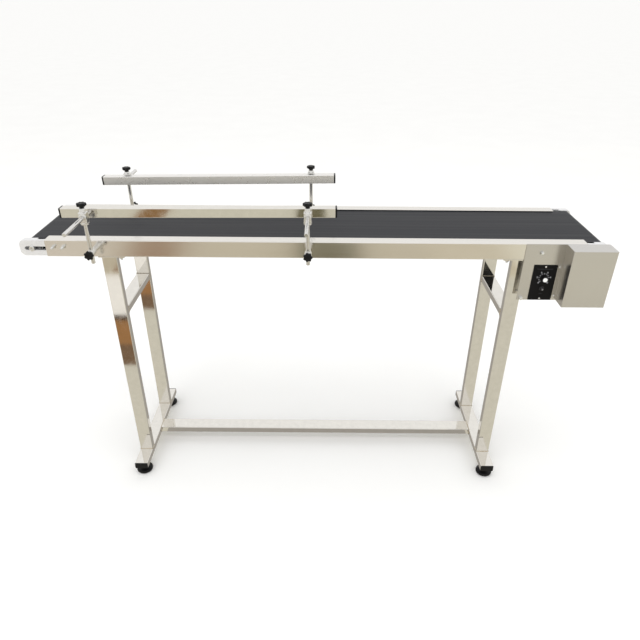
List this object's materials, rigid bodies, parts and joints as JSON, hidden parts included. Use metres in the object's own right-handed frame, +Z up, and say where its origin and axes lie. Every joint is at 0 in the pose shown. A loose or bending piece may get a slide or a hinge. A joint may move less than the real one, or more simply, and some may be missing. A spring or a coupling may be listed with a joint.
{
  "type": "belt conveyor section",
  "caption": "Bench-height stainless belt conveyor on two tube leg frames, with a dark belt, adjustable side guide rails over the tail half, and a boxed drive with a speed control at the other end.",
  "frame": {"origin": "on the floor, midway between the two end rollers and on the belt's centre line", "axes": "+X along the belt from the tail to the drive end, +Y across the belt away from the control side, +Z up"},
  "size_m": [1.553, 0.565, 0.9032],
  "materials": {
    "satin_stainless": "satin, fine grain along the sheet",
    "polished_stainless": "polished tube",
    "belt_pvc": "matt dark grey conveyor belt",
    "anodised_aluminium": "satin, silver anodised",
    "black_nylon": "moulded, slightly glossy",
    "black_panel": "smooth black front plate",
    "white_abs": "smooth",
    "bright_zinc": "bright plated fasteners",
    "bearing_steel": "ground",
    "motor_aluminium": "cast and turned",
    "drive_belt_rubber": "matt black",
    "case_abs": "moulded"
  },
  "bodies": {
    "frame": {"rail_near": "satin_stainless", "rail_far": "satin_stainless", "slider_bed": "satin_stainless", "cross_members": "satin_stainless", "tail_blocks": "anodised_aluminium", "head_blocks": "anodised_aluminium", "drive_bearings": "bearing_steel", "belt": "belt_pvc", "head_plate": "satin_stainless", "drive_cover": "satin_stainless", "small_screws": "bright_zinc", "gearbox": "motor_aluminium", "motor_body": "motor_aluminium", "timing_belt": "drive_belt_rubber", "control_panel": "black_panel", "controller_case": "case_abs", "lower_clamps": "motor_aluminium", "leg_front_left": "polished_stainless", "leg_front_right": "polished_stainless", "leg_rear_left": "polished_stainless", "leg_rear_right": "polished_stainless", "leg_top_plates": "polished_stainless", "leg_braces": "polished_stainless", "foot_beams": "polished_stainless", "beam_caps": "black_nylon", "stretcher": "polished_stainless", "foot_nuts": "bright_zinc", "m6_bolts": "bright_zinc"},
    "drive_roller": {"drive_roller": "bearing_steel", "drive_pulley": "motor_aluminium"},
    "motor_shaft": {"motor_pulley": "motor_aluminium"},
    "take_up": {"tail_axle": "bearing_steel", "axle_screws": "bright_zinc"},
    "tail_roller": {"tail_roller": "bearing_steel"},
    "speed_knob": {"speed_knob": "black_nylon", "speed_knob_cap": "white_abs"},
    "toggle": {"toggle_lever": "bright_zinc"},
    "front_posts": {"posts_front": "polished_stainless", "upper_clamps_front": "motor_aluminium"},
    "front_guide": {"guide_rail_front": "polished_stainless", "guide_caps_front": "black_nylon", "guide_rods_front": "polished_stainless"},
    "rear_posts": {"posts_rear": "polished_stainless", "upper_clamps_rear": "motor_aluminium"},
    "rear_guide": {"guide_rail_rear": "polished_stainless", "guide_caps_rear": "black_nylon", "guide_rods_rear": "polished_stainless"},
    "upper_knob_front_left": {"upper_knob_front_left": "black_nylon"},
    "lower_knob_front_left": {"lower_knob_front_left": "black_nylon"},
    "foot_front_left": {"foot_front_left": "black_nylon"},
    "upper_knob_front_right": {"upper_knob_front_right": "black_nylon"},
    "lower_knob_front_right": {"lower_knob_front_right": "black_nylon"},
    "foot_front_right": {"foot_front_right": "black_nylon"},
    "upper_knob_rear_left": {"upper_knob_rear_left": "black_nylon"},
    "lower_knob_rear_left": {"lower_knob_rear_left": "black_nylon"},
    "foot_rear_left": {"foot_rear_left": "black_nylon"},
    "upper_knob_rear_right": {"upper_knob_rear_right": "black_nylon"},
    "lower_knob_rear_right": {"lower_knob_rear_right": "black_nylon"},
    "foot_rear_right": {"foot_rear_right": "black_nylon"}
  },
  "joints": [
    {"name": "drive_roller_turn", "type": "hinge", "parent": "frame", "child": "drive_roller", "pos_m": [0.75, 0, 0.762], "axis": [0, 1, 0], "continuous": true},
    {"name": "motor_shaft_turn", "type": "hinge", "parent": "frame", "child": "motor_shaft", "pos_m": [0.715, -0.155, 0.676], "axis": [0, 1, 0], "continuous": true},
    {"name": "tail_take_up", "type": "slide", "parent": "frame", "child": "take_up", "axis": [1, 0, 0], "range_m": [0, 0.01]},
    {"name": "tail_roller_turn", "type": "hinge", "parent": "take_up", "child": "tail_roller", "pos_m": [-0.75, 0, 0.762], "axis": [0, 1, 0], "continuous": true},
    {"name": "speed_knob_turn", "type": "hinge", "parent": "frame", "child": "speed_knob", "pos_m": [0.6135, -0.1495, 0.6895], "axis": [0, -1, 0], "range_deg": [-140, 140]},
    {"name": "toggle_throw", "type": "hinge", "parent": "frame", "child": "toggle", "pos_m": [0.6135, -0.1475, 0.659], "axis": [1, 0, 0], "range_deg": [-12, 12]},
    {"name": "front_posts_height", "type": "slide", "parent": "frame", "child": "front_posts", "axis": [0, 0, 1], "range_m": [-0.05, 0.015]},
    {"name": "front_guide_reach", "type": "slide", "parent": "front_posts", "child": "front_guide", "axis": [0, 1, 0], "range_m": [-0.015, 0.1]},
    {"name": "rear_posts_height", "type": "slide", "parent": "frame", "child": "rear_posts", "axis": [0, 0, 1], "range_m": [-0.05, 0.015]},
    {"name": "rear_guide_reach", "type": "slide", "parent": "rear_posts", "child": "rear_guide", "axis": [0, -1, 0], "range_m": [0, 0.06]},
    {"name": "upper_knob_front_left_turn", "type": "hinge", "parent": "front_posts", "child": "upper_knob_front_left", "pos_m": [-0.58, -0.1805, 0.882], "axis": [0, 0, 1], "range_deg": [0, 360]},
    {"name": "lower_knob_front_left_turn", "type": "hinge", "parent": "frame", "child": "lower_knob_front_left", "pos_m": [-0.58, -0.1905, 0.765], "axis": [0, -1, 0], "range_deg": [0, 360]},
    {"name": "foot_front_left_turn", "type": "hinge", "parent": "frame", "child": "foot_front_left", "pos_m": [-0.558, -0.173, 0], "axis": [0, 0, 1], "continuous": true},
    {"name": "upper_knob_front_right_turn", "type": "hinge", "parent": "front_posts", "child": "upper_knob_front_right", "pos_m": [-0.02, -0.1805, 0.882], "axis": [0, 0, 1], "range_deg": [0, 360]},
    {"name": "lower_knob_front_right_turn", "type": "hinge", "parent": "frame", "child": "lower_knob_front_right", "pos_m": [-0.02, -0.1905, 0.765], "axis": [0, -1, 0], "range_deg": [0, 360]},
    {"name": "foot_front_right_turn", "type": "hinge", "parent": "frame", "child": "foot_front_right", "pos_m": [0.548, -0.173, 0], "axis": [0, 0, 1], "continuous": true},
    {"name": "upper_knob_rear_left_turn", "type": "hinge", "parent": "rear_posts", "child": "upper_knob_rear_left", "pos_m": [-0.58, 0.1805, 0.882], "axis": [0, 0, 1], "range_deg": [0, 360]},
    {"name": "lower_knob_rear_left_turn", "type": "hinge", "parent": "frame", "child": "lower_knob_rear_left", "pos_m": [-0.58, 0.1905, 0.765], "axis": [0, 1, 0], "range_deg": [0, 360]},
    {"name": "foot_rear_left_turn", "type": "hinge", "parent": "frame", "child": "foot_rear_left", "pos_m": [-0.558, 0.173, 0], "axis": [0, 0, 1], "continuous": true},
    {"name": "upper_knob_rear_right_turn", "type": "hinge", "parent": "rear_posts", "child": "upper_knob_rear_right", "pos_m": [-0.02, 0.1805, 0.882], "axis": [0, 0, 1], "range_deg": [0, 360]},
    {"name": "lower_knob_rear_right_turn", "type": "hinge", "parent": "frame", "child": "lower_knob_rear_right", "pos_m": [-0.02, 0.1905, 0.765], "axis": [0, 1, 0], "range_deg": [0, 360]},
    {"name": "foot_rear_right_turn", "type": "hinge", "parent": "frame", "child": "foot_rear_right", "pos_m": [0.548, 0.173, 0], "axis": [0, 0, 1], "continuous": true}
  ],
  "couplings": [
    {"joint": "motor_shaft_turn", "follows": "drive_roller_turn", "ratio": 0.76471},
    {"joint": "tail_roller_turn", "follows": "drive_roller_turn", "ratio": 1}
  ]
}
